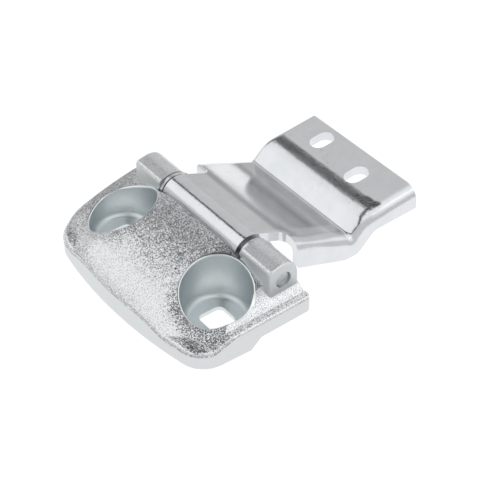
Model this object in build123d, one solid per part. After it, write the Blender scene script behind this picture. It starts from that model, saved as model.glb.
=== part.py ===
"""Van rear door hinge: a domed cast leaf with two bolt pockets and two lugs, and a pressed steel
arm that turns on one pin between the lugs. Millimetres; X runs along the pin, +Y towards the arm,
Z up from the mounting face, and the origin lies in that face straight below the pin."""
from build123d import *
from math import cos, radians, sin, sqrt, tan
import os

os.makedirs("parts", exist_ok=True)

# Hinge line
PIN_DIAMETER = 8.0
PIN_HEIGHT = 21.5
PIN_CHAMFER = 0.6
PIN_RECESS = 1.2
LUG_BORE_CLEARANCE = 0.02
CURL_BORE_CLEARANCE = 0.05
WASHER_BORE_CLEARANCE = 0.06
WASHER_DIAMETER = 16.4
WASHER_THICKNESS = 1.8
WASHER_LUG_GAP = 0.3
WASHER_EDGE = 0.25

# Cast leaf: plan outline
LEAF_LEFT = 58.2
LEAF_RIGHT = 59.4
RIGHT_FLARE = 1.5
LEAF_FRONT = 57.0
LEAF_REAR = 8.3
FRONT_ARC_RADIUS = 245.0
FRONT_LEFT_RADIUS = 20.0
FRONT_RIGHT_RADIUS = 13.0
REAR_CORNER_RADIUS = 2.5

# Cast leaf: crown, border and ledge
CROWN_HEIGHT = 30.2
CROWN_APEX = 25.0
CROWN_LENGTH_RADIUS = 180.0
CROWN_SWEEP = 33.0
CROWN_FLAT_HALF_WIDTH = 15.0
CROWN_SHOULDER_RADIUS = 50.0
CROWN_SLOPE = 20.0
CROWN_SLOPE_END = 40.7
CROWN_HOLLOW_RADIUS = 35.0
CROWN_EDGE_SLOPE = 2.0
CROWN_REAR_EDGE = 9.0
CROWN_EDGE_ROUND = 1.5
BORDER_FRONT_HEIGHT = 7.2
BORDER_REAR_HEIGHT = 11.1
BORDER_ROUND = 2.0
LEDGE_HEIGHT = 13.9
LEDGE_FALL = 3.3
LEDGE_INNER = 56.2
LEDGE_FLANK_WIDTH = 9.0
LEDGE_FLANK_RISE = 6.6
LEDGE_FLANK_RADIUS = 14.0
LEDGE_LENGTH = 46.0
LEDGE_EDGE_ROUND = 1.5
LEDGE_EDGE_OVERLAP = 0.3

# Cast leaf: lugs
LUG_INNER = 31.4
LUG_LENGTH = 20.3
LUG_RADIUS = 8.3
LUG_TOP_SLOPE = 11.0
LUG_FRONT_TOP = 7.5
LUG_FRONT_FOOT = 7.8
LUG_FRONT_ROUND = 2.0
LUG_END_ROUND = 1.6

# Cast leaf: bolt pockets, seats and underside
POCKET_HALF_SPACING = 36.7
POCKET_SETBACK = 25.0
POCKET_FLOOR = 2.0
POCKET_FLOOR_RADIUS = 15.2
POCKET_FLOOR_ROUND = 3.5
POCKET_DRAFT = 3.0
POCKET_RIM_ROUND = 0.8
SEAT_RADIUS = 17.6
BOLT_SQUARE = 13.0
BOLT_SQUARE_ROUND = 3.0
UNDERSIDE_STEP_FRONT = 24.0
UNDERSIDE_STEP_REAR = 18.5
UNDERSIDE_STEP_HEIGHT = 4.8
UNDERSIDE_REAR_HEIGHT = 6.6
CORE_HALF_WIDTH = 15.5
CORE_FRONT = 50.0
CORE_REAR = 14.5
CORE_ROUND = 5.0
CASTING_WALL = 5.0

# Pressed arm
SHEET = 4.5
ARM_SHIFT = -0.5
CURL_HALF_WIDTH = 27.7
CURL_SWEEP = 290.0
CURL_RADIUS = PIN_DIAMETER / 2 + CURL_BORE_CLEARANCE + SHEET
NECK_OVERLAP = 2.0
WEB_ANGLE = 22.0
SHOULDER = 19.0
NOTCH_ROUND = 3.5
ARM_HALF_WIDTH = 39.0
ARM_LEFT_EDGE_RADIUS = 4.0
ARM_RIGHT_EDGE_RADIUS = 7.0
ARM_INNER_EDGE_RADIUS = 1.2
VALLEY = 50.5
RISER_ANGLE = 42.0
RISER_FOOT_RADIUS = 2.0
RISER_TOP_RADIUS = 14.0
PAD_START = 58.9
PAD_ANGLE = 6.0
PAD_END = 88.5
SKIRT_SHOULDER_HEIGHT = 9.4
SKIRT_FOOT_FRONT = 46.0
SKIRT_FOOT_REAR = 53.5
SKIRT_RISE_END = 63.5
SKIRT_PAD_HEIGHT = 9.0
SKIRT_END_HEIGHT = 10.0
SKIRT_CORNER_ROUND = 4.0
SLOT_WIDTH = 9.0
SLOT_LENGTH = 13.0
SLOT_LEFT = (-19.6, 79.2)
SLOT_RIGHT = (11.4, 74.8)

FAR = 200.0
TOUCH = 0.01


def side_face(points):
    """Face in the YZ plane from (y, z) points, standing at X = 0."""
    return Plane.YZ * make_face(Polyline(points, close=True).edges())


def round_corner(face, point, radius):
    """Flat face with the corner nearest to a point rounded."""
    corner = face.vertices().sort_by_distance(point)[0]
    return fillet(corner, radius)


def across(face, left, right):
    """Solid from a face at X = 0, drawn out between two X positions."""
    return Pos(left, 0, 0) * extrude(face, right - left, dir=(1, 0, 0))


def pin_rod(radius, left, right):
    """Round bar on the hinge line between two X positions."""
    disc = Plane.YZ * Pos(0, PIN_HEIGHT) * Circle(radius)
    return across(disc, left, right)


def plan_prism(height):
    """Outline of the cast leaf, upright from the mounting face."""
    left_sag = FRONT_ARC_RADIUS - sqrt(FRONT_ARC_RADIUS**2 - LEAF_LEFT**2)
    right_sag = FRONT_ARC_RADIUS - sqrt(FRONT_ARC_RADIUS**2 - LEAF_RIGHT**2)
    left_front = (-LEAF_LEFT, left_sag - LEAF_FRONT)
    right_front = (LEAF_RIGHT, right_sag - LEAF_FRONT)
    left_rear = (-LEAF_LEFT, LEAF_REAR)
    right_rear = (LEAF_RIGHT + RIGHT_FLARE, LEAF_REAR)
    edges = [
        ThreePointArc(left_front, (0, -LEAF_FRONT), right_front),
        Line(right_front, right_rear),
        Line(right_rear, left_rear),
        Line(left_rear, left_front),
    ]
    outline = make_face(edges)
    outline = round_corner(outline, left_front, FRONT_LEFT_RADIUS)
    outline = round_corner(outline, right_front, FRONT_RIGHT_RADIUS)
    outline = round_corner(outline, left_rear, REAR_CORNER_RADIUS)
    outline = round_corner(outline, right_rear, REAR_CORNER_RADIUS)
    return extrude(outline, height)


def crown(drop):
    """Barrel-shaped crown, swept fore and aft about a line far below; drop lowers its skin."""
    top = CROWN_HEIGHT - drop
    slope = radians(CROWN_SLOPE)
    edge_slope = radians(CROWN_EDGE_SLOPE)
    shoulder_x = CROWN_FLAT_HALF_WIDTH + CROWN_SHOULDER_RADIUS * sin(slope)
    shoulder_z = top - CROWN_SHOULDER_RADIUS * (1 - cos(slope))
    slope_z = shoulder_z - (CROWN_SLOPE_END - shoulder_x) * tan(slope)
    hollow_x = CROWN_SLOPE_END + CROWN_HOLLOW_RADIUS * (sin(slope) - sin(edge_slope))
    hollow_z = slope_z - CROWN_HOLLOW_RADIUS * (cos(edge_slope) - cos(slope))
    outer_x = LEAF_RIGHT + RIGHT_FLARE + CASTING_WALL
    outer_z = hollow_z - (outer_x - hollow_x) * tan(edge_slope)
    foot_z = -CASTING_WALL

    def half(side):
        flat = (side * CROWN_FLAT_HALF_WIDTH, top)
        shoulder = (side * shoulder_x, shoulder_z)
        slope_end = (side * CROWN_SLOPE_END, slope_z)
        hollow = (side * hollow_x, hollow_z)
        outer = (side * outer_x, outer_z)
        return [
            TangentArc(flat, shoulder, tangent=(side, 0)),
            Line(shoulder, slope_end),
            TangentArc(slope_end, hollow, tangent=(side * cos(slope), -sin(slope))),
            Line(hollow, outer),
            Line(outer, (side * outer_x, foot_z)),
        ]

    flat_line = Line((-CROWN_FLAT_HALF_WIDTH, top), (CROWN_FLAT_HALF_WIDTH, top))
    foot_line = Line((-outer_x, foot_z), (outer_x, foot_z))
    section = make_face([flat_line, foot_line] + half(1) + half(-1))
    section = Plane((0, CROWN_APEX, 0), x_dir=(1, 0, 0), z_dir=(0, -1, 0)) * section
    sweep_axis = Axis((0, CROWN_APEX, CROWN_HEIGHT - CROWN_LENGTH_RADIUS), (1, 0, 0))
    return revolve(section, sweep_axis, CROWN_SWEEP)


def border_plate(outline):
    """Low rim all round the casting, which slopes gently down to the front, with a rounded lip."""
    plate_face = side_face([
        (-LEAF_FRONT, 0),
        (LEAF_REAR, 0),
        (LEAF_REAR, BORDER_REAR_HEIGHT),
        (-LEAF_FRONT, BORDER_FRONT_HEIGHT),
    ])
    plate = across(plate_face, -LEAF_LEFT, LEAF_RIGHT + RIGHT_FLARE) & outline
    top_edges = plate.faces().sort_by(Axis.Z)[-1].edges()
    return fillet(top_edges, BORDER_ROUND) - bolt_seat(1) - bolt_seat(-1)


def ledge_cut():
    """Room beside the right lug: a hollow flank that falls to a flat ledge with a rounded brow."""
    foot = (LEDGE_INNER, LEDGE_HEIGHT)
    flank = (LEDGE_INNER - LEDGE_FLANK_WIDTH, LEDGE_HEIGHT + LEDGE_FLANK_RISE)
    brow = (LEAF_RIGHT + RIGHT_FLARE - LEDGE_EDGE_ROUND, LEDGE_HEIGHT)
    brow_end = (LEAF_RIGHT + RIGHT_FLARE + LEDGE_EDGE_OVERLAP, LEDGE_HEIGHT - LEDGE_EDGE_ROUND)
    outer = LEAF_RIGHT + RIGHT_FLARE + CASTING_WALL
    edges = [
        RadiusArc(foot, flank, LEDGE_FLANK_RADIUS),
        Line(flank, (flank[0], FAR)),
        Line((flank[0], FAR), (outer, FAR)),
        Line((outer, FAR), (outer, brow_end[1])),
        Line((outer, brow_end[1]), brow_end),
        TangentArc(brow, brow_end, tangent=(1, 0)),
        Line(brow, foot),
    ]
    face = Plane((0, LEAF_REAR, 0), x_dir=(1, 0, 0), z_dir=(0, -1, 0)) * make_face(edges)
    side_slope = RIGHT_FLARE / (LEAF_FRONT + LEAF_REAR)
    return extrude(face, LEDGE_LENGTH, dir=(-side_slope, -1, -tan(radians(LEDGE_FALL))))


def lug(side):
    """One knuckle of the casting: round over the pin at the rear, square-shouldered in front."""
    top_slope = radians(LUG_TOP_SLOPE)
    rear_top = (LUG_RADIUS, PIN_HEIGHT)
    over_pin = (-LUG_RADIUS * sin(top_slope), PIN_HEIGHT + LUG_RADIUS * cos(top_slope))
    front_z = over_pin[1] - (LUG_FRONT_TOP + over_pin[0]) * tan(top_slope)
    front_top = (-LUG_FRONT_TOP, front_z)
    front_foot = (-LUG_FRONT_FOOT, UNDERSIDE_REAR_HEIGHT)
    rear_foot = (LUG_RADIUS, UNDERSIDE_REAR_HEIGHT)
    edges = [
        Line(rear_foot, rear_top),
        TangentArc(rear_top, over_pin, tangent=(0, 1)),
        Line(over_pin, front_top),
        Line(front_top, front_foot),
        Line(front_foot, rear_foot),
    ]
    profile = make_face(edges)
    corner = profile.vertices().sort_by_distance(front_top)[0]
    profile = Plane.YZ * fillet(corner, LUG_FRONT_ROUND)
    inner = side * LUG_INNER
    outer = side * (LUG_INNER + LUG_LENGTH)
    block = across(profile, min(inner, outer), max(inner, outer))
    end_face = block.faces().sort_by_distance((outer, 0, PIN_HEIGHT))[0]
    rounded = end_face.edges().filter_by(lambda edge: edge.center().Z > PIN_HEIGHT)
    return fillet(rounded, LUG_END_ROUND)


def pocket_reach(height):
    """Radius of a pocket's drafted wall at a height."""
    return POCKET_FLOOR_RADIUS + (height - POCKET_FLOOR) * tan(radians(POCKET_DRAFT))


def bolt_pocket(side):
    """Round drafted pocket for a bolt head, with a square hole for the neck in its floor."""
    edges = [
        Line((0, POCKET_FLOOR), (POCKET_FLOOR_RADIUS, POCKET_FLOOR)),
        Line((POCKET_FLOOR_RADIUS, POCKET_FLOOR), (pocket_reach(FAR), FAR)),
        Line((pocket_reach(FAR), FAR), (0, FAR)),
        Line((0, FAR), (0, POCKET_FLOOR)),
    ]
    profile = make_face(edges)
    profile = round_corner(profile, (POCKET_FLOOR_RADIUS, POCKET_FLOOR), POCKET_FLOOR_ROUND)
    cup = revolve(Plane.XZ * profile, Axis.Z)
    square = RectangleRounded(BOLT_SQUARE, BOLT_SQUARE, BOLT_SQUARE_ROUND)
    neck_hole = extrude(square, 2 * POCKET_FLOOR, both=True)
    return Pos(side * POCKET_HALF_SPACING, -POCKET_SETBACK, 0) * (cup + neck_hole)


def bolt_seat(side):
    """Upright round bar about a bolt hole: inside it the casting reaches down to the mounting face."""
    return Pos(side * POCKET_HALF_SPACING, -POCKET_SETBACK, 0) * Cylinder(SEAT_RADIUS, FAR)


def rounded_dome(outline):
    """Crown trimmed to the outline, with the ledge, its outer edge and the pocket rims shaped."""
    dome = crown(0) & outline
    skin = dome.faces().filter_by(lambda face: face.normal_at().Z > 0.5)
    walls = dome.faces().filter_by(lambda face: abs(face.normal_at().Z) < 0.05)
    outer_edges = []
    for edge in dome.edges():
        middle = edge.position_at(0.5)
        on_skin = min(face.distance_to(middle) for face in skin) < TOUCH
        on_wall = min(face.distance_to(middle) for face in walls) < TOUCH
        if on_skin and on_wall and middle.Y < LEAF_REAR - CROWN_EDGE_ROUND:
            outer_edges.append(edge)
    dome = dome.fillet(CROWN_EDGE_ROUND, outer_edges)
    for side in (1, -1):
        dome -= bolt_pocket(side)
        rim = []
        for edge in dome.edges():
            points = [edge.position_at(share) for share in (0, 0.3, 0.7, 1)]
            misses = []
            for point in points:
                distance = sqrt((point.X - side * POCKET_HALF_SPACING)**2 + (point.Y + POCKET_SETBACK)**2)
                misses.append(abs(distance - pocket_reach(point.Z)))
            if max(misses) < TOUCH and points[1].Z > POCKET_FLOOR + 2 * POCKET_FLOOR_ROUND:
                rim.append(edge)
        dome = dome.fillet(POCKET_RIM_ROUND, rim)
    return dome - ledge_cut()


def cast_leaf():
    """The domed leaf that bolts to the body pillar."""
    outline = plan_prism(2 * CROWN_HEIGHT)
    body = border_plate(outline) + lug(1) + lug(-1)
    body += rounded_dome(outline)

    raised = side_face([
        (-UNDERSIDE_STEP_FRONT, 0),
        (-UNDERSIDE_STEP_REAR, UNDERSIDE_STEP_HEIGHT),
        (LEAF_REAR, UNDERSIDE_REAR_HEIGHT),
        (LEAF_REAR, -CASTING_WALL),
        (-UNDERSIDE_STEP_FRONT, -CASTING_WALL),
    ])
    body -= across(raised, -LEAF_LEFT, LEAF_RIGHT + RIGHT_FLARE) - bolt_seat(1) - bolt_seat(-1)

    core_plan = Pos(0, -(CORE_FRONT + CORE_REAR) / 2) * RectangleRounded(
        2 * CORE_HALF_WIDTH, CORE_FRONT - CORE_REAR, CORE_ROUND)
    body -= extrude(core_plan, CROWN_HEIGHT) & crown(CASTING_WALL)

    gap_face = side_face([
        (-CROWN_REAR_EDGE, -CASTING_WALL),
        (FAR, -CASTING_WALL),
        (FAR, FAR),
        (-CROWN_REAR_EDGE, FAR),
    ])
    body -= across(gap_face, -LUG_INNER, LUG_INNER)
    return body - pin_rod(PIN_DIAMETER / 2 + LUG_BORE_CLEARANCE, -FAR, FAR)


def arm_line(drop, start, end):
    """Corner points (y, z) of the arm's skin seen from the side, drop below the outside skin."""
    web = radians(WEB_ANGLE)
    riser = radians(RISER_ANGLE)
    pad = radians(PAD_ANGLE)
    web_base = PIN_HEIGHT + CURL_RADIUS / cos(web)
    riser_base = web_base - VALLEY * (tan(web) + tan(riser))
    pad_base = riser_base + PAD_START * (tan(riser) - tan(pad))
    web_base -= drop / cos(web)
    riser_base -= drop / cos(riser)
    pad_base -= drop / cos(pad)
    foot_y = (web_base - riser_base) / (tan(web) + tan(riser))
    top_y = (pad_base - riser_base) / (tan(riser) - tan(pad))
    return [
        (start, web_base - start * tan(web)),
        (foot_y, riser_base + foot_y * tan(riser)),
        (top_y, riser_base + top_y * tan(riser)),
        (end, pad_base + end * tan(pad)),
    ]


def long_edges(block, side, half_width):
    """Edges of the upper skin along one side of an arm block."""
    found = []
    for face in block.faces():
        if face.normal_at().Z > 0.5:
            for edge in face.edges():
                if side * edge.center().X > half_width - TOUCH:
                    found.append(edge)
    return found


def arm_block(drop, start, end, below, half_width, left_radius, right_radius):
    """Solid under the arm's skin: rounded at the valley and the pad, and along both long edges."""
    line = arm_line(drop, start, end)
    face = make_face(Polyline(line + below, close=True).edges())
    face = round_corner(face, line[1], RISER_FOOT_RADIUS + drop)
    face = round_corner(face, line[2], RISER_TOP_RADIUS - drop)
    for corner in below[1:-1]:
        face = round_corner(face, corner, SKIRT_CORNER_ROUND)
    block = across(Plane.YZ * face, -half_width, half_width)
    block = fillet(long_edges(block, -1, half_width), left_radius)
    return fillet(long_edges(block, 1, half_width), right_radius)


def pressed_arm():
    """The arm that bolts to the door: a turned-down tray with a neck curled round the pin."""
    skirt_line = [
        (PAD_END, SKIRT_END_HEIGHT),
        (SKIRT_RISE_END, SKIRT_PAD_HEIGHT),
        (SKIRT_FOOT_REAR, 0),
        (SKIRT_FOOT_FRONT, 0),
        (SHOULDER, SKIRT_SHOULDER_HEIGHT),
    ]
    outside = arm_block(
        0, SHOULDER, PAD_END, skirt_line, ARM_HALF_WIDTH,
        ARM_LEFT_EDGE_RADIUS, ARM_RIGHT_EDGE_RADIUS)
    inside_line = [
        (PAD_END + SHEET, -SHEET),
        (SHOULDER - SHEET, -SHEET),
    ]
    inside = arm_block(
        SHEET, SHOULDER - SHEET, PAD_END + SHEET, inside_line,
        ARM_HALF_WIDTH - SHEET, ARM_INNER_EDGE_RADIUS, ARM_RIGHT_EDGE_RADIUS - SHEET)
    arm = outside - inside

    web = radians(WEB_ANGLE)
    bore_radius = CURL_RADIUS - SHEET
    tangent_angle = 90 - WEB_ANGLE
    end_angle = radians(tangent_angle + CURL_SWEEP)
    neck_length = (SHOULDER + NECK_OVERLAP - CURL_RADIUS * sin(web)) / cos(web)
    outer_start = (CURL_RADIUS * sin(web), PIN_HEIGHT + CURL_RADIUS * cos(web))
    inner_start = (bore_radius * sin(web), PIN_HEIGHT + bore_radius * cos(web))
    outer_end = (CURL_RADIUS * cos(end_angle), PIN_HEIGHT + CURL_RADIUS * sin(end_angle))
    inner_end = (bore_radius * cos(end_angle), PIN_HEIGHT + bore_radius * sin(end_angle))
    outer_tip = (outer_start[0] + neck_length * cos(web), outer_start[1] - neck_length * sin(web))
    inner_tip = (inner_start[0] + neck_length * cos(web), inner_start[1] - neck_length * sin(web))
    curl_edges = [
        CenterArc((0, PIN_HEIGHT), CURL_RADIUS, tangent_angle, CURL_SWEEP),
        CenterArc((0, PIN_HEIGHT), bore_radius, tangent_angle, CURL_SWEEP),
        Line(outer_end, inner_end),
        Line(outer_start, outer_tip),
        Line(outer_tip, inner_tip),
        Line(inner_tip, inner_start),
    ]
    curl = Plane.YZ * make_face(curl_edges)
    arm += across(curl, -CURL_HALF_WIDTH, CURL_HALF_WIDTH)

    notch_edges = []
    for edge in arm.edges().filter_by(Axis.Z):
        beside_neck = abs(abs(edge.center().X) - CURL_HALF_WIDTH) < TOUCH
        if beside_neck and abs(edge.center().Y - SHOULDER) < TOUCH:
            notch_edges.append(edge)
    arm = fillet(notch_edges, NOTCH_ROUND)
    arm = Pos(ARM_SHIFT, 0, 0) * arm
    for slot_x, slot_y in (SLOT_LEFT, SLOT_RIGHT):
        slot = extrude(SlotOverall(SLOT_LENGTH, SLOT_WIDTH, rotation=90), CROWN_HEIGHT)
        arm -= Pos(slot_x, slot_y, 0) * slot
    return arm


def hinge_pin():
    """Plain pin, held in both lugs with its ends sunk below the lug faces."""
    half_length = LUG_INNER + LUG_LENGTH - PIN_RECESS
    pin = pin_rod(PIN_DIAMETER / 2, -half_length, half_length)
    ends = pin.edges().filter_by(GeomType.CIRCLE)
    return chamfer(ends, PIN_CHAMFER)


def thrust_washer(side):
    """Flat ring on the pin between a lug and the end of the curl."""
    lug_side = side * (LUG_INNER - WASHER_LUG_GAP)
    curl_side = side * (LUG_INNER - WASHER_LUG_GAP - WASHER_THICKNESS)
    ring = pin_rod(WASHER_DIAMETER / 2, min(lug_side, curl_side), max(lug_side, curl_side))
    ring = fillet(ring.edges().filter_by(GeomType.CIRCLE), WASHER_EDGE)
    return ring - pin_rod(PIN_DIAMETER / 2 + WASHER_BORE_CLEARANCE, -FAR, FAR)


pieces = {
    "frame_leaf": cast_leaf(),
    "door_arm": pressed_arm(),
    "hinge_pin": hinge_pin(),
    "thrust_washer_left": thrust_washer(-1),
    "thrust_washer_right": thrust_washer(1),
}
# The stored origin lies midway between the two bolt holes, in the mounting face.
for name, piece in pieces.items():
    export_step(Pos(0, POCKET_SETBACK, 0) * piece, f"parts/{name}.step")
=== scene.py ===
"""Van rear door hinge, dressed: bright zinc over a blasted casting and a pressed steel arm."""
import math

import bpy
from mathutils import Matrix, Vector

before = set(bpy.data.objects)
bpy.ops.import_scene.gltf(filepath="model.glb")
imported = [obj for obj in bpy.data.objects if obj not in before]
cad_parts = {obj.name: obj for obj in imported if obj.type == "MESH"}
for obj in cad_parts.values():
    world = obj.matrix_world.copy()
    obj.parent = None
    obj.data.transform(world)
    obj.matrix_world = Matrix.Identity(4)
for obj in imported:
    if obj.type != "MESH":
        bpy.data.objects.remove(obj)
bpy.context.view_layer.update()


# Cast frame leaf. One domed casting with two bolt pockets and two lugs, blasted clean and then
# bright zinc plated, so its crown sparkles with a fine grain, while the pockets and the upright
# walls keep the smoother skin of the mould. It bolts to the van's rear pillar.
POCKET_CENTRES = (-0.0367, 0.0367)
POCKET_FLOOR_HEIGHT = 0.002
POCKET_FLOOR_RADIUS = 0.0152
POCKET_TAPER = math.tan(math.radians(3.0))
POCKET_WALL_MARGIN = 0.0002
POCKET_RIM_MARGIN = 0.00096
POCKET_BLUR = 0.0002
LUG_FRONT = 0.0172
LUG_FRONT_BLUR = 0.0005
LUG_OUTER = 0.0522
LUG_OUTER_BLUR = 0.0003
WALL_BEGINS = 0.55
WALL_FULL = 0.25
# Painted shade: a broken dark line low on the crown's turn-down edge, where the rolled skin mirrors
# the dark room.
EDGE_SHADE_LEAN = (0.2, 0.3, 0.5, 0.65)
EDGE_SHADE_TOP = 0.0122
EDGE_SHADE_BLUR = 0.0005
EDGE_SHADE_BREAK_SCALE = 900.0
EDGE_SHADE_BREAK_RANGE = (0.35, 0.55)
ROLL_SIDE_START = 0.040
ROLL_SIDE = 10.0
ROLL_FRONT_START = 0.018
ROLL_FRONT = 15.0
SPOTS_PER_CLOUD = 9.0
CLOUD_RANGE = (0.3, 0.7)
SPOT_RANGE = (0.6, 0.75)
GRAIN_SIZE = 0.00045
GRAIN_DEPTH = 0.00009
GRAIN_NOISE_SHARE = 0.3
GRAIN_ON_LUGS = 0.4
GRAIN_ON_WALLS = 0.06
PIT_RANGE = (0.46, 0.32)
PIT_STRENGTH = 0.8
STAIN_STRENGTH = 0.15
CAST_CLOUD_SCALE = 70.0
CAST_ROUGHNESS = 0.12
CAST_CLOUD_ROUGHNESS = 0.05
MOULDED_ROUGHNESS = 0.22
LUG_ROUGHNESS = 0.2
CAST_ZINC = (0.82, 0.835, 0.85, 1.0)
# Dark zinc for the grain's pits and the stains, also used for the painted shade along the crown's
# turn-down edge.
CAST_ZINC_PIT_AND_SHADE = (0.34, 0.355, 0.375, 1.0)
MOULDED_ZINC = (0.68, 0.705, 0.71, 1.0)
POCKET_ZINC = (0.70, 0.745, 0.76, 1.0)


def shader_group(name, inputs, outputs):
    """Empty shader node group with named sockets, and its two end nodes."""
    tree = bpy.data.node_groups.new(name, "ShaderNodeTree")
    for socket_name, kind, value in inputs:
        socket = tree.interface.new_socket(socket_name, in_out="INPUT", socket_type=kind)
        if value is not None:
            socket.default_value = value
    for socket_name, kind in outputs:
        tree.interface.new_socket(socket_name, in_out="OUTPUT", socket_type=kind)
    return tree, tree.nodes.new("NodeGroupInput"), tree.nodes.new("NodeGroupOutput")


def plug(tree, socket, value):
    """Links a socket to a source, or sets it where the value is a plain number or colour."""
    if isinstance(value, bpy.types.NodeSocket):
        tree.links.new(value, socket)
    else:
        socket.default_value = value


def calc(tree, operation, first, second=0.0, third=0.0):
    """One Math node; each operand is a socket or a number."""
    node = tree.nodes.new("ShaderNodeMath")
    node.operation = operation
    plug(tree, node.inputs[0], first)
    plug(tree, node.inputs[1], second)
    plug(tree, node.inputs[2], third)
    return node.outputs[0]


def aim(tree, operation, first, second):
    """One Vector Math node; each operand is a socket or a vector."""
    node = tree.nodes.new("ShaderNodeVectorMath")
    node.operation = operation
    plug(tree, node.inputs[0], first)
    plug(tree, node.inputs[1], second)
    return node.outputs["Value"] if operation == "DOT_PRODUCT" else node.outputs["Vector"]


def ramp(tree, value, low, high, low_out=0.0, high_out=1.0):
    """Smooth step of a value from low to high."""
    node = tree.nodes.new("ShaderNodeMapRange")
    node.interpolation_type = "SMOOTHSTEP"
    plug(tree, node.inputs["Value"], value)
    node.inputs["From Min"].default_value = low
    node.inputs["From Max"].default_value = high
    node.inputs["To Min"].default_value = low_out
    node.inputs["To Max"].default_value = high_out
    return node.outputs["Result"]


def band(tree, value, start, full_from, full_to, end):
    """1 in the middle of a range of values, with a soft step at each end."""
    return calc(tree, "MULTIPLY", ramp(tree, value, start, full_from), ramp(tree, value, end, full_to))


def noise(tree, vector, scale, detail=2.0, roughness=0.5):
    """Noise value between 0 and 1; scale is a number or a socket."""
    node = tree.nodes.new("ShaderNodeTexNoise")
    plug(tree, node.inputs["Vector"], vector)
    plug(tree, node.inputs["Scale"], scale)
    node.inputs["Detail"].default_value = detail
    node.inputs["Roughness"].default_value = roughness
    return node.outputs["Fac"]


def blend_colour(tree, factor, first, second):
    """Mix of two colours."""
    node = tree.nodes.new("ShaderNodeMix")
    node.data_type = "RGBA"
    plug(tree, node.inputs["Factor"], factor)
    plug(tree, node.inputs["A"], first)
    plug(tree, node.inputs["B"], second)
    return node.outputs["Result"]


def zinc_bloom_group():
    """Slow clouds and small handling spots that zinc plate has all over."""
    tree, entry, out = shader_group(
        "zinc_bloom",
        [("Vector", "NodeSocketVector", None), ("Cloud Scale", "NodeSocketFloat", CAST_CLOUD_SCALE)],
        [("Cloud", "NodeSocketFloat"), ("Spots", "NodeSocketFloat")],
    )
    cloud_scale = entry.outputs["Cloud Scale"]
    spot_scale = calc(tree, "MULTIPLY", cloud_scale, SPOTS_PER_CLOUD)
    cloud = noise(tree, entry.outputs["Vector"], cloud_scale, detail=4.0, roughness=0.6)
    spots = noise(tree, entry.outputs["Vector"], spot_scale, detail=3.0, roughness=0.55)
    tree.links.new(ramp(tree, cloud, *CLOUD_RANGE), out.inputs["Cloud"])
    tree.links.new(ramp(tree, spots, *SPOT_RANGE), out.inputs["Spots"])
    return tree


def blasted_grain_group():
    """Small facets, each tilted its own way as blasting leaves them, and a mask of deep pits."""
    tree, entry, out = shader_group(
        "blasted_grain",
        [("Vector", "NodeSocketVector", None), ("Size", "NodeSocketFloat", GRAIN_SIZE)],
        [("Height", "NodeSocketFloat"), ("Pits", "NodeSocketFloat")],
    )
    scale = calc(tree, "DIVIDE", 1.0, entry.outputs["Size"])
    facets = tree.nodes.new("ShaderNodeTexVoronoi")
    tree.links.new(entry.outputs["Vector"], facets.inputs["Vector"])
    tree.links.new(scale, facets.inputs["Scale"])
    from_middle = aim(tree, "SUBTRACT", entry.outputs["Vector"], facets.outputs["Position"])
    tilt = aim(tree, "SUBTRACT", facets.outputs["Color"], (0.5, 0.5, 0.5))
    facet_height = calc(tree, "MULTIPLY", aim(tree, "DOT_PRODUCT", from_middle, tilt), scale)
    grains = noise(tree, entry.outputs["Vector"], scale, detail=1.0, roughness=0.6)
    height = calc(tree, "MULTIPLY_ADD", grains, GRAIN_NOISE_SHARE, facet_height)
    tree.links.new(height, out.inputs["Height"])
    tree.links.new(ramp(tree, grains, *PIT_RANGE), out.inputs["Pits"])
    return tree


ZINC_BLOOM = zinc_bloom_group()
BLASTED_GRAIN = blasted_grain_group()


def place_group(tree, group, vector, **values):
    """Node group placed in a material, fed with coordinates and its own values."""
    node = tree.nodes.new("ShaderNodeGroup")
    node.node_tree = group
    tree.links.new(vector, node.inputs["Vector"])
    for name, value in values.items():
        node.inputs[name.replace("_", " ").title()].default_value = value
    return node


def new_metal(name):
    """Bare metal material: its node tree, its shader and its object coordinates."""
    material = bpy.data.materials.new(name)
    material.use_nodes = True
    tree = material.node_tree
    shader = tree.nodes["Principled BSDF"]
    shader.inputs["Metallic"].default_value = 1.0
    coords = tree.nodes.new("ShaderNodeTexCoord").outputs["Object"]
    return material, tree, shader, coords


def split(tree, vector):
    """The three components of a vector."""
    node = tree.nodes.new("ShaderNodeSeparateXYZ")
    tree.links.new(vector, node.inputs["Vector"])
    return node.outputs["X"], node.outputs["Y"], node.outputs["Z"]


def add_bump(tree, shader, height, strength, distance):
    """Bump node from a height to the shader's normal."""
    bump = tree.nodes.new("ShaderNodeBump")
    bump.inputs["Strength"].default_value = strength
    bump.inputs["Distance"].default_value = distance
    plug(tree, bump.inputs["Height"], height)
    tree.links.new(bump.outputs["Normal"], shader.inputs["Normal"])
    return bump


def swept_normal(tree, height):
    """Normal of a skin that rises and falls gently by a height in metres."""
    bump = tree.nodes.new("ShaderNodeBump")
    bump.inputs["Distance"].default_value = 1.0
    tree.links.new(height, bump.inputs["Height"])
    return bump.outputs["Normal"]


def coat_node(node_name, material):
    """Gives a CAD node its finish."""
    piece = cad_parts[node_name]
    if not piece.material_slots:
        piece.data.materials.append(material)
    for slot in piece.material_slots:
        slot.material = material


def pocket_mask(tree, x, y, z, margin):
    """1 inside either drafted bolt pocket and up to a margin beyond its wall, 0 outside."""
    height = calc(tree, "SUBTRACT", z, POCKET_FLOOR_HEIGHT)
    wall = calc(tree, "MULTIPLY_ADD", height, POCKET_TAPER, POCKET_FLOOR_RADIUS + margin)
    mask = 0.0
    for centre in POCKET_CENTRES:
        across = calc(tree, "SUBTRACT", x, centre)
        square = calc(tree, "MULTIPLY", across, across)
        reach = calc(tree, "SQRT", calc(tree, "MULTIPLY_ADD", y, y, square))
        inside = ramp(tree, calc(tree, "SUBTRACT", reach, wall), POCKET_BLUR, -POCKET_BLUR)
        mask = calc(tree, "MAXIMUM", inside, mask)
    return mask


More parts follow.
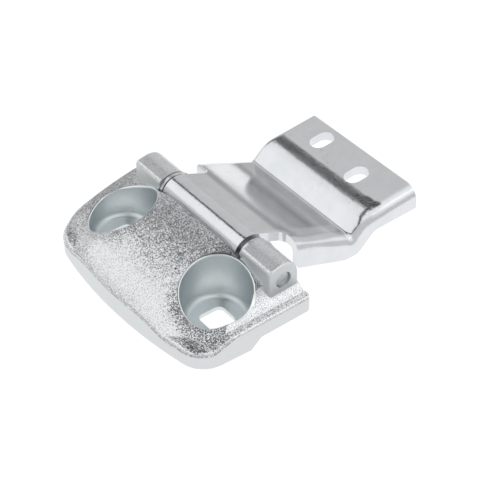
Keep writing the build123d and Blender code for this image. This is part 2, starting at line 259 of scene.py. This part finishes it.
def lug_mask(tree, x, y):
    """1 on the two lugs and between them, 0 on the crown and the ledge."""
    behind = ramp(tree, y, LUG_FRONT - LUG_FRONT_BLUR, LUG_FRONT + LUG_FRONT_BLUR)
    outward = calc(tree, "ABSOLUTE", x)
    within = ramp(tree, outward, LUG_OUTER + LUG_OUTER_BLUR, LUG_OUTER)
    return calc(tree, "MULTIPLY", behind, within)


def swell(tree, value, start, bend):
    """Grows with the square of how far a value has passed a start."""
    past = calc(tree, "MAXIMUM", calc(tree, "SUBTRACT", value, start), 0.0)
    return calc(tree, "MULTIPLY", calc(tree, "MULTIPLY", past, past), bend)


def rolled_normal(tree, x, y, flat_mask):
    """Normal of the crown's skin, which rolls off further towards the sides and the front."""
    side = swell(tree, calc(tree, "ABSOLUTE", x), ROLL_SIDE_START, -ROLL_SIDE)
    front = swell(tree, calc(tree, "MULTIPLY", y, -1.0), ROLL_FRONT_START, -ROLL_FRONT)
    blend = tree.nodes.new("ShaderNodeMix")
    blend.data_type = "VECTOR"
    plug(tree, blend.inputs["Factor"], flat_mask)
    plug(tree, blend.inputs["A"], swept_normal(tree, calc(tree, "ADD", side, front)))
    plug(tree, blend.inputs["B"], tree.nodes.new("ShaderNodeNewGeometry").outputs["Normal"])
    return blend.outputs["Result"]


def painted_edge_shade(tree, coords, flatness, z):
    """Painted shade: a broken dark line where the crown's skin turns down to the skirt, standing in
    for the dark room that this rolled edge mirrors.
    """
    line = band(tree, flatness, *EDGE_SHADE_LEAN)
    low = ramp(tree, z, EDGE_SHADE_TOP, EDGE_SHADE_TOP - EDGE_SHADE_BLUR)
    breaks = noise(tree, coords, EDGE_SHADE_BREAK_SCALE, detail=2.0, roughness=0.6)
    broken = ramp(tree, breaks, *EDGE_SHADE_BREAK_RANGE)
    return calc(tree, "MULTIPLY", calc(tree, "MULTIPLY", line, low), broken)


def cast_zinc_material():
    """Grainy plated casting, smooth in the pockets, on their rims and on the upright walls."""
    material, tree, shader, coords = new_metal("cast_zinc")
    x, y, z = split(tree, coords)
    # Flatness is 1 on level skin and 0 on an upright wall.
    facing = tree.nodes.new("ShaderNodeTexCoord").outputs["Normal"]
    flatness = calc(tree, "ABSOLUTE", split(tree, facing)[2])
    wall = ramp(tree, flatness, WALL_BEGINS, WALL_FULL)
    pocket = pocket_mask(tree, x, y, z, POCKET_WALL_MARGIN)
    rim = pocket_mask(tree, x, y, z, POCKET_RIM_MARGIN)
    smooth = calc(tree, "MAXIMUM", wall, rim)
    blasted = calc(tree, "SUBTRACT", 1.0, smooth)
    lug = lug_mask(tree, x, y)

    grain = place_group(tree, BLASTED_GRAIN, coords, size=GRAIN_SIZE)
    bloom = place_group(tree, ZINC_BLOOM, coords, cloud_scale=CAST_CLOUD_SCALE)
    depth = calc(tree, "MULTIPLY", blasted, ramp(tree, lug, 0.0, 1.0, 1.0, GRAIN_ON_LUGS))
    depth = calc(tree, "MAXIMUM", depth, GRAIN_ON_WALLS)
    height = calc(tree, "MULTIPLY", grain.outputs["Height"], depth)
    bump = add_bump(tree, shader, height, 1.0, GRAIN_DEPTH)
    normal = rolled_normal(tree, x, y, calc(tree, "MAXIMUM", smooth, lug))
    tree.links.new(normal, bump.inputs["Normal"])

    pits = calc(tree, "MULTIPLY", grain.outputs["Pits"], calc(tree, "MULTIPLY", blasted, PIT_STRENGTH))
    colour = blend_colour(tree, pits, CAST_ZINC, CAST_ZINC_PIT_AND_SHADE)
    colour = blend_colour(tree, wall, colour, MOULDED_ZINC)
    # Painted shade: a broken dark line low on the crown's turn-down edge.
    colour = blend_colour(tree, painted_edge_shade(tree, coords, flatness, z), colour, CAST_ZINC_PIT_AND_SHADE)
    colour = blend_colour(tree, pocket, colour, POCKET_ZINC)
    stain = calc(tree, "MULTIPLY", bloom.outputs["Spots"], STAIN_STRENGTH)
    colour = blend_colour(tree, stain, colour, CAST_ZINC_PIT_AND_SHADE)
    tree.links.new(colour, shader.inputs["Base Color"])

    rough = calc(tree, "MULTIPLY_ADD", bloom.outputs["Cloud"], CAST_CLOUD_ROUGHNESS, CAST_ROUGHNESS)
    moulded = calc(tree, "MAXIMUM", wall, pocket)
    rough = calc(tree, "MULTIPLY_ADD", moulded, MOULDED_ROUGHNESS, rough)
    rough = calc(tree, "MULTIPLY_ADD", lug, LUG_ROUGHNESS, rough)
    tree.links.new(rough, shader.inputs["Roughness"])
    return material


coat_node("frame_leaf", cast_zinc_material())


# Hinge pin. A turned steel pin driven through both lugs, its ends faced off below the lug faces,
# with the fine rings of the turning tool and a thin zinc plate.
PIN_AXIS_Y = 0.025
PIN_AXIS_Z = 0.0215
PIN_RING_SCALE = 900.0
PIN_RING_WOBBLE = 1.5
PIN_RING_DETAIL = 2.0
PIN_RING_STRENGTH = 0.25
PIN_RING_DEPTH = 0.00005
PIN_CLOUD_SCALE = 240.0
PIN_ROUGHNESS = 0.3
PIN_RING_ROUGHNESS = 0.1
PIN_STEEL = (0.52, 0.54, 0.56, 1.0)
PIN_STEEL_WORN = (0.68, 0.69, 0.70, 1.0)


def pin_material():
    """Turned steel: rings about the pin's own line, and cloudy worn plate."""
    material, tree, shader, coords = new_metal("pin_steel")
    centred = tree.nodes.new("ShaderNodeMapping")
    centred.inputs["Location"].default_value = (0.0, -PIN_AXIS_Y, -PIN_AXIS_Z)
    tree.links.new(coords, centred.inputs["Vector"])
    rings = tree.nodes.new("ShaderNodeTexWave")
    rings.wave_type = "RINGS"
    rings.rings_direction = "X"
    rings.inputs["Scale"].default_value = PIN_RING_SCALE
    rings.inputs["Distortion"].default_value = PIN_RING_WOBBLE
    rings.inputs["Detail"].default_value = PIN_RING_DETAIL
    tree.links.new(centred.outputs["Vector"], rings.inputs["Vector"])
    bloom = place_group(tree, ZINC_BLOOM, coords, cloud_scale=PIN_CLOUD_SCALE)
    colour = blend_colour(tree, bloom.outputs["Cloud"], PIN_STEEL, PIN_STEEL_WORN)
    tree.links.new(colour, shader.inputs["Base Color"])
    rough = calc(tree, "MULTIPLY_ADD", rings.outputs["Fac"], PIN_RING_ROUGHNESS, PIN_ROUGHNESS)
    tree.links.new(rough, shader.inputs["Roughness"])
    add_bump(tree, shader, rings.outputs["Fac"], PIN_RING_STRENGTH, PIN_RING_DEPTH)
    return material


coat_node("hinge_pin", pin_material())


# Thrust washers. Two stamped steel rings on the pin, one at each end of the curl, that keep it off
# the lugs; zinc plated, with rubbed faces.
WASHER_CLOUD_SCALE = 260.0
WASHER_GRAIN_SIZE = 0.0006
WASHER_GRAIN_STRENGTH = 0.12
WASHER_GRAIN_DEPTH = 0.00006
WASHER_ROUGHNESS = 0.28
WASHER_SPOT_ROUGHNESS = 0.15
WASHER_ZINC = (0.72, 0.73, 0.745, 1.0)
WASHER_RUBBED = (0.55, 0.56, 0.58, 1.0)


def washer_material():
    """Plated ring with rubbed, slightly dull patches."""
    material, tree, shader, coords = new_metal("washer_zinc")
    bloom = place_group(tree, ZINC_BLOOM, coords, cloud_scale=WASHER_CLOUD_SCALE)
    colour = blend_colour(tree, bloom.outputs["Cloud"], WASHER_ZINC, WASHER_RUBBED)
    tree.links.new(colour, shader.inputs["Base Color"])
    rough = calc(tree, "MULTIPLY_ADD", bloom.outputs["Spots"], WASHER_SPOT_ROUGHNESS, WASHER_ROUGHNESS)
    tree.links.new(rough, shader.inputs["Roughness"])
    grain = place_group(tree, BLASTED_GRAIN, coords, size=WASHER_GRAIN_SIZE)
    add_bump(tree, shader, grain.outputs["Height"], WASHER_GRAIN_STRENGTH, WASHER_GRAIN_DEPTH)
    return material


WASHER_FINISH = washer_material()
coat_node("thrust_washer_left", WASHER_FINISH)
coat_node("thrust_washer_right", WASHER_FINISH)


# Pressed door arm. Thick steel sheet, blanked, curled round the pin and pressed into a cranked tray,
# then bright zinc plated. The plate is lightly scratched, and its fine peel is deeper where the
# sheet was stretched: over the riser's brow, along the right bend and round the curl.
BROW_START = 0.0805
BROW_END = 0.0945
RIGHT_BEND_BEGINS = 0.0305
RIGHT_BEND_FULL = 0.0335
CURL_END = 0.0285
BEND_BLUR = 0.002
WEB_DISH_START = 0.040
WEB_DISH_END = 0.067
WEB_DISH_DEPTH = 0.0027
BROW_ROLL_START = 0.0835
BROW_ROLL_END = 0.0965
BROW_ROLL_RISE = 0.0018
SIDE_ROLL_START = 0.0245
SIDE_ROLL_END = 0.0335
SIDE_ROLL_DEPTH = 0.0005
ARM_PEEL_SIZE = 0.00035
ARM_PEEL_DEPTH = 0.00003
PEEL_ON_FLATS = 0.12
PEEL_ON_BENDS = 0.65
SCRATCH_WINDING_SCALE = 210.0
SCRATCH_CONTOUR = 0.5
SCRATCH_LINE_RANGE = (0.006, 0.002)
SCRATCH_PATCH_SCALE = 120.0
SCRATCH_PATCH_RANGE = (0.60, 0.66)
SCRATCH_STRENGTH = 0.6
SCRATCH_DEPTH = 0.1
SCRATCH_ROUGHNESS = 0.12
ARM_CLOUD_SCALE = 75.0
ARM_ROUGHNESS = 0.11
ARM_CLOUD_ROUGHNESS = 0.04
ARM_ZINC = (0.775, 0.79, 0.81, 1.0)
ARM_ZINC_CLOUD = (0.73, 0.75, 0.77, 1.0)
ARM_SCRATCH = (0.50, 0.515, 0.53, 1.0)


def stretched_mask(tree, x, y):
    """1 where the pressing stretched the sheet: brow, right bend and curl."""
    brow = band(tree, y, BROW_START, BROW_START + BEND_BLUR, BROW_END - BEND_BLUR, BROW_END)
    right_bend = ramp(tree, x, RIGHT_BEND_BEGINS, RIGHT_BEND_FULL)
    curl = ramp(tree, y, CURL_END + BEND_BLUR, CURL_END)
    return calc(tree, "MAXIMUM", calc(tree, "MAXIMUM", brow, right_bend), curl)


def scratch_mask(tree, coords):
    """Worm-like hairlines in scattered patches, as loose handling leaves them."""
    winding = noise(tree, coords, SCRATCH_WINDING_SCALE, detail=1.0)
    from_line = calc(tree, "ABSOLUTE", calc(tree, "SUBTRACT", winding, SCRATCH_CONTOUR))
    hairline = ramp(tree, from_line, *SCRATCH_LINE_RANGE)
    handled = noise(tree, coords, SCRATCH_PATCH_SCALE, detail=1.0)
    patches = ramp(tree, handled, *SCRATCH_PATCH_RANGE)
    return calc(tree, "MULTIPLY", hairline, patches)


def pressed_sweep(tree, x, y):
    """Gentle forms that bend only the reflections: a dished web, soft rolls at brow and right bend."""
    dish = ramp(tree, y, WEB_DISH_START, WEB_DISH_END, 0.0, -WEB_DISH_DEPTH)
    brow = ramp(tree, y, BROW_ROLL_START, BROW_ROLL_END, 0.0, BROW_ROLL_RISE)
    side = ramp(tree, x, SIDE_ROLL_START, SIDE_ROLL_END, 0.0, -SIDE_ROLL_DEPTH)
    return calc(tree, "ADD", brow, calc(tree, "ADD", dish, side))


def pressed_zinc_material():
    """Bright plated sheet: a fine peel that deepens on the bends, clouds and scratches."""
    material, tree, shader, coords = new_metal("pressed_zinc")
    x, y = split(tree, coords)[:2]
    scratches = scratch_mask(tree, coords)
    bloom = place_group(tree, ZINC_BLOOM, coords, cloud_scale=ARM_CLOUD_SCALE)
    colour = blend_colour(tree, bloom.outputs["Cloud"], ARM_ZINC, ARM_ZINC_CLOUD)
    dulled = calc(tree, "MULTIPLY", scratches, SCRATCH_STRENGTH)
    colour = blend_colour(tree, dulled, colour, ARM_SCRATCH)
    tree.links.new(colour, shader.inputs["Base Color"])
    rough = calc(tree, "MULTIPLY_ADD", bloom.outputs["Cloud"], ARM_CLOUD_ROUGHNESS, ARM_ROUGHNESS)
    rough = calc(tree, "MULTIPLY_ADD", scratches, SCRATCH_ROUGHNESS, rough)
    tree.links.new(rough, shader.inputs["Roughness"])

    peel = place_group(tree, BLASTED_GRAIN, coords, size=ARM_PEEL_SIZE)
    depth = ramp(tree, stretched_mask(tree, x, y), 0.0, 1.0, PEEL_ON_FLATS, PEEL_ON_BENDS)
    height = calc(tree, "MULTIPLY", peel.outputs["Height"], depth)
    height = calc(tree, "MULTIPLY_ADD", scratches, -SCRATCH_DEPTH, height)
    peel_bump = add_bump(tree, shader, height, 1.0, ARM_PEEL_DEPTH)
    tree.links.new(swept_normal(tree, pressed_sweep(tree, x, y)), peel_bump.inputs["Normal"])
    return material


coat_node("door_arm", pressed_zinc_material())


# Studio. A white floor that glows like a light table, a pale room with three dark bars that the
# plated metal mirrors, one soft light and the camera. The room's levels are brightness, and its
# starts, ends and ranges are places on a ceiling one unit up, measured from above the part.
FLOOR_SIZE = 6.0
FLOOR_DROP = 0.07
FLOOR_GLOW = 0.88
FLOOR_ALBEDO = 0.2
HORIZON_CUT = 0.05
FRONT_LEVEL = 1.05
BACK_LEVEL = 0.66
BACK_LOW_LEVEL = 0.68
BACK_LOW_RANGE = (0.5, 3.0)
BEHIND_RANGE = (0.0, 0.35)
LEFT_RANGE = (0.25, -0.4)
RIGHT_LEVEL = 0.62
RIGHT_RANGE = (0.6, 1.4)
FAR_LEFT_LEVEL = 0.5
FAR_LEFT_RANGE = (-5.0, -9.0)
LOW_FRONT_LEVEL = 0.6
LOW_FRONT_RANGE = (-1.3, -2.1)
OVERHEAD_BAR = {"start": (-0.9, 0.075), "end": (0.05, 0.12), "widening": 0.55, "level": 0.03}
LEFT_BAR = {"start": (-0.9, 0.075), "end": (-2.8, 0.2), "widening": 2.5, "level": 0.12}
CAMERA_STAND = {"start": (-0.2, -0.1), "end": (0.85, -0.95), "widening": 0.8, "level": 0.03}
BAR_CORE = 0.08
BAR_EDGE = 0.13
LAMP_WIDTH = 1.2
LAMP_LENGTH = 0.9
LAMP_POWER = 1.0
LAMP_PLACE = Vector((1.2, 0.6, 1.1))
CAMERA_PLACE = Vector((0.45055, -0.28731, 0.45907))
CAMERA_AZIMUTH = math.radians(54.02)
CAMERA_ELEVATION = math.radians(39.34)
CAMERA_ROLL = math.radians(-1.18)
CAMERA_LENS = 116.57
CAMERA_SENSOR = 36.0
CAMERA_NEAR = 0.01


def lay_floor():
    """Flat white floor whose glow drowns shadows, below the arm at its lowest swing."""
    half = FLOOR_SIZE / 2
    corners = [
        (-half, -half, -FLOOR_DROP),
        (half, -half, -FLOOR_DROP),
        (half, half, -FLOOR_DROP),
        (-half, half, -FLOOR_DROP),
    ]
    mesh = bpy.data.meshes.new("floor")
    mesh.from_pydata(corners, [], [(0, 1, 2, 3)])
    floor = bpy.data.objects.new("floor", mesh)
    bpy.context.scene.collection.objects.link(floor)
    material = bpy.data.materials.new("pale_floor")
    material.use_nodes = True
    shader = material.node_tree.nodes["Principled BSDF"]
    shader.inputs["Base Color"].default_value = (FLOOR_ALBEDO, FLOOR_ALBEDO, FLOOR_ALBEDO, 1.0)
    shader.inputs["Roughness"].default_value = 1.0
    shader.inputs["Specular IOR Level"].default_value = 0.0
    shader.inputs["Emission Color"].default_value = (1.0, 1.0, 1.0, 1.0)
    shader.inputs["Emission Strength"].default_value = FLOOR_GLOW
    mesh.materials.append(material)


def bar_distance(tree, flat_x, flat_y, bar):
    """Distance from a bar in the ceiling plane, shrunk towards its far end so that it widens."""
    start_x, start_y = bar["start"]
    end_x, end_y = bar["end"]
    run_x = end_x - start_x
    run_y = end_y - start_y
    length_square = run_x**2 + run_y**2
    off_x = calc(tree, "SUBTRACT", flat_x, start_x)
    off_y = calc(tree, "SUBTRACT", flat_y, start_y)
    along = calc(tree, "MULTIPLY", off_x, run_x / length_square)
    along = calc(tree, "MULTIPLY_ADD", off_y, run_y / length_square, along)
    along = calc(tree, "MINIMUM", calc(tree, "MAXIMUM", along, 0.0), 1.0)
    miss_x = calc(tree, "MULTIPLY_ADD", along, -run_x, off_x)
    miss_y = calc(tree, "MULTIPLY_ADD", along, -run_y, off_y)
    square = calc(tree, "MULTIPLY", miss_x, miss_x)
    square = calc(tree, "MULTIPLY_ADD", miss_y, miss_y, square)
    width = calc(tree, "MULTIPLY_ADD", along, bar["widening"], 1.0)
    return calc(tree, "DIVIDE", calc(tree, "SQRT", square), width)


def light_room():
    """Pale room with three dark bars, dimmer at the back left, right, far left and low front."""
    world = bpy.data.worlds.new("studio")
    world.use_nodes = True
    bpy.context.scene.world = world
    tree = world.node_tree
    direction = tree.nodes.new("ShaderNodeTexCoord").outputs["Generated"]
    x, y, z = split(tree, direction)
    up = calc(tree, "MAXIMUM", z, HORIZON_CUT)
    flat_x = calc(tree, "DIVIDE", x, up)
    flat_y = calc(tree, "DIVIDE", y, up)

    behind = ramp(tree, flat_y, *BEHIND_RANGE)
    left = ramp(tree, flat_x, *LEFT_RANGE)
    back_level = ramp(tree, flat_y, *BACK_LOW_RANGE, BACK_LEVEL, BACK_LOW_LEVEL)
    loss = calc(tree, "SUBTRACT", FRONT_LEVEL, back_level)
    shade = calc(tree, "MULTIPLY", calc(tree, "MULTIPLY", behind, left), loss)
    level = calc(tree, "SUBTRACT", FRONT_LEVEL, shade)

    right = ramp(tree, flat_x, *RIGHT_RANGE, 1.0, RIGHT_LEVEL)
    low_front = ramp(tree, flat_y, *LOW_FRONT_RANGE, 1.0, LOW_FRONT_LEVEL)
    level = calc(tree, "MULTIPLY", level, calc(tree, "MINIMUM", right, low_front))
    far_left = ramp(tree, flat_x, *FAR_LEFT_RANGE, 1.0, FAR_LEFT_LEVEL)
    level = calc(tree, "MULTIPLY", level, far_left)
    for bar in (OVERHEAD_BAR, LEFT_BAR, CAMERA_STAND):
        distance = bar_distance(tree, flat_x, flat_y, bar)
        shadow = ramp(tree, distance, BAR_CORE, BAR_EDGE, bar["level"], 1.0)
        level = calc(tree, "MULTIPLY", level, shadow)
    background = tree.nodes["Background"]
    tree.links.new(level, background.inputs["Strength"])
    background.inputs["Color"].default_value = (1.0, 1.0, 1.0, 1.0)


def hang_soft_light():
    """Broad soft light above the part, to its right and behind it."""
    lamp = bpy.data.lights.new("soft_light", "AREA")
    lamp.shape = "RECTANGLE"
    lamp.size = LAMP_WIDTH
    lamp.size_y = LAMP_LENGTH
    lamp.energy = LAMP_POWER
    holder = bpy.data.objects.new("soft_light", lamp)
    holder.location = LAMP_PLACE
    holder.rotation_euler = (-LAMP_PLACE).to_track_quat("-Z", "Y").to_euler()
    bpy.context.scene.collection.objects.link(holder)


def set_camera():
    """Camera at the photograph's place, turned by its slight roll."""
    right = Vector((math.cos(CAMERA_AZIMUTH), math.sin(CAMERA_AZIMUTH), 0.0))
    back = Vector((
        math.sin(CAMERA_AZIMUTH) * math.cos(CAMERA_ELEVATION),
        -math.cos(CAMERA_AZIMUTH) * math.cos(CAMERA_ELEVATION),
        math.sin(CAMERA_ELEVATION),
    ))
    up = back.cross(right)
    turned_right = right * math.cos(CAMERA_ROLL) + up * math.sin(CAMERA_ROLL)
    turned_up = up * math.cos(CAMERA_ROLL) - right * math.sin(CAMERA_ROLL)
    lens = bpy.data.cameras.new("camera")
    lens.lens = CAMERA_LENS
    lens.sensor_width = CAMERA_SENSOR
    lens.clip_start = CAMERA_NEAR
    camera = bpy.data.objects.new("camera", lens)
    turn = Matrix((turned_right, turned_up, back)).transposed().to_4x4()
    camera.matrix_world = Matrix.Translation(CAMERA_PLACE) @ turn
    bpy.context.scene.collection.objects.link(camera)
    bpy.context.scene.camera = camera


lay_floor()
light_room()
hang_soft_light()
set_camera()
bpy.context.scene.view_settings.view_transform = "Standard"
